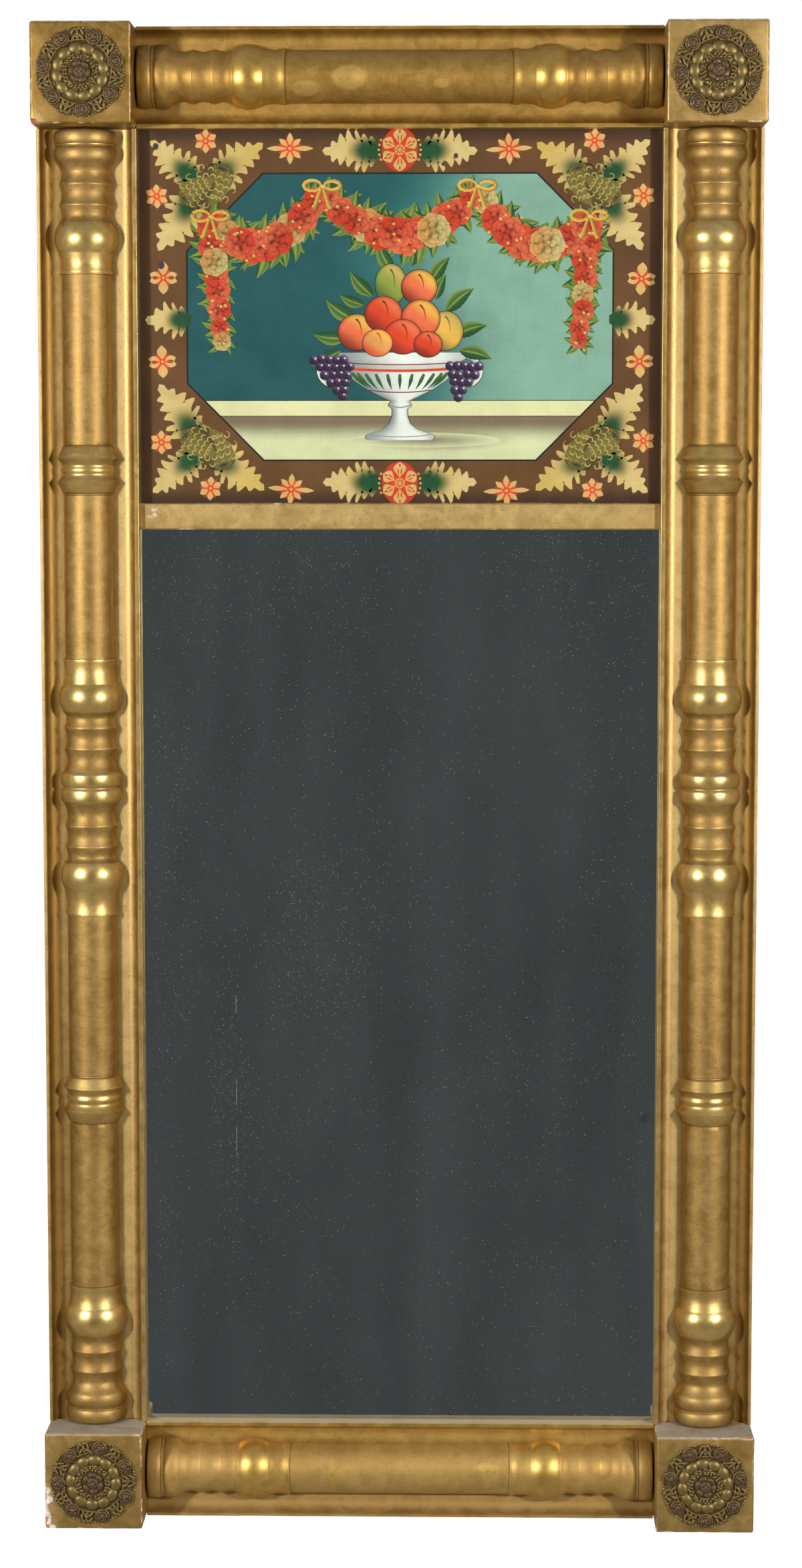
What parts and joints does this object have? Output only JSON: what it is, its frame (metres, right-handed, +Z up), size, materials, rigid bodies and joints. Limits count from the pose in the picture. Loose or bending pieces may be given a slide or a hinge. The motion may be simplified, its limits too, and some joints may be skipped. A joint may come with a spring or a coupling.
{
  "type": "split column mirror",
  "caption": "Upright wall mirror framed by gilded split half columns and square corner blocks with stamped rosettes, with a painted glass tablet set above the mirror plate.",
  "frame": {"origin": "middle of the bottom rail's back face, on the wall plane", "axes": "+Z up along the frame's height, +Y from the front towards the wall, +X to the right as seen from the front"},
  "size_m": [0.485, 0.0578, 1.016],
  "materials": {
    "gilded_wood": "gold leaf over bole and gesso on pine, burnished on the turnings, matte on the flats, worn",
    "rosette_brass": "stamped sheet, dark patina with bright rubbed crests",
    "dark_iron": "cut nails and wrought hanger, dull brown",
    "painted_glass": "clear sheet painted on its back, so it is opaque",
    "mirror_plate": "old silvering, darkened and specked",
    "old_pine": "bare, aged brown"
  },
  "bodies": {
    "frame": {"backboard_brads": "dark_iron", "block_nails": "dark_iron", "bottom_column": "gilded_wood", "bottom_rail": "gilded_wood", "column_nails": "dark_iron", "corner_block_bottom_left": "gilded_wood", "corner_block_bottom_right": "gilded_wood", "corner_block_top_left": "gilded_wood", "corner_block_top_right": "gilded_wood", "divider_rail": "gilded_wood", "hanger_nails": "dark_iron", "hanger_strap": "dark_iron", "left_column": "gilded_wood", "left_stile": "gilded_wood", "mirror_backboard_left": "old_pine", "mirror_backboard_right": "old_pine", "mirror_glass": "mirror_plate", "mirror_slips": "old_pine", "right_column": "gilded_wood", "right_stile": "gilded_wood", "rosette_bottom_left": "rosette_brass", "rosette_bottom_right": "rosette_brass", "rosette_brads": "dark_iron", "rosette_top_left": "rosette_brass", "rosette_top_right": "rosette_brass", "tablet_backboard": "old_pine", "tablet_glass": "painted_glass", "tablet_slips": "old_pine", "top_column": "gilded_wood", "top_rail": "gilded_wood"},
    "ring": {"hanger_ring": "dark_iron"}
  },
  "joints": [
    {"name": "ring_swing", "type": "hinge", "parent": "frame", "child": "ring", "pos_m": [0, -0.00325, 0.9525], "axis": [1, 0, 0], "range_deg": [0, 180]}
  ]
}
